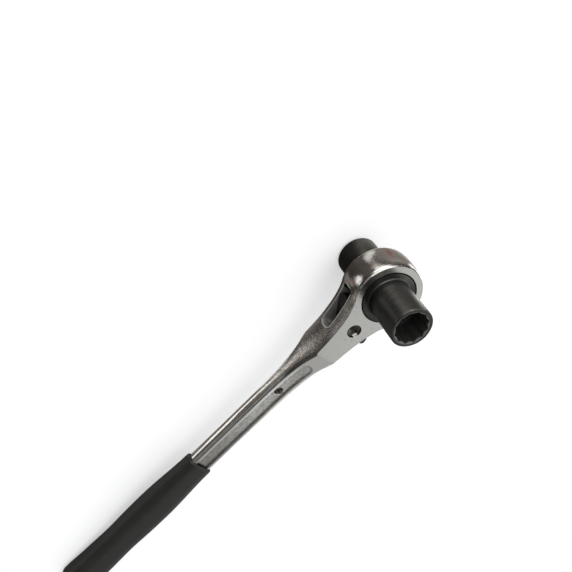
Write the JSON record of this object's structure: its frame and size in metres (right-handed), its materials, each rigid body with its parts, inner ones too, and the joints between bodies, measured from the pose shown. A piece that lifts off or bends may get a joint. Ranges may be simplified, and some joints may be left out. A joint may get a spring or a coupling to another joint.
{
  "type": "crank bolt wrench",
  "caption": "Reversible ratchet wrench with a double-ended twelve-point socket, a rocking pawl and a long flat handle in a moulded grip, for crank bolts.",
  "frame": {"origin": "on the socket's axis, at the middle of the forged head's thickness", "axes": "+Z out of the larger socket, +X along the handle to the grip, +Y to the side where the raised thumb tab stands"},
  "size_m": [0.2442, 0.0364, 0.0613],
  "materials": {
    "plated_steel": "bright plated forging with finely ground faces and a satin sunk panel",
    "black_steel": "black oxide over fine turning marks, with pale worn edges",
    "spring_wire": "dark spring steel",
    "pin_steel": "dark turned steel",
    "bright_steel": "bright turned steel",
    "grip_plastic": "black moulded plastic with a soft sheen"
  },
  "bodies": {
    "wrench": {"wrench_body": "plated_steel", "retaining_ring": "spring_wire", "pivot_pin": "pin_steel", "detent_spring": "spring_wire", "grip": "grip_plastic"},
    "socket": {"double_socket": "black_steel"},
    "pawl": {"pawl": "black_steel"},
    "plunger": {"plunger": "bright_steel"}
  },
  "joints": [
    {"name": "socket_turn", "type": "hinge", "parent": "wrench", "child": "socket", "pos_m": [0, 0, 0], "axis": [0, 0, 1], "continuous": true},
    {"name": "pawl_rock", "type": "hinge", "parent": "wrench", "child": "pawl", "pos_m": [0.0228, 0, 0], "axis": [0, 0, 1], "range_deg": [0, 47.6]},
    {"name": "plunger_slide", "type": "slide", "parent": "wrench", "child": "plunger", "axis": [1, 0, 0], "range_m": [0, 0.001], "stiffness_N_per_m": 2000, "springref_m": -0.003, "deforming": ["detent_spring"]}
  ]
}
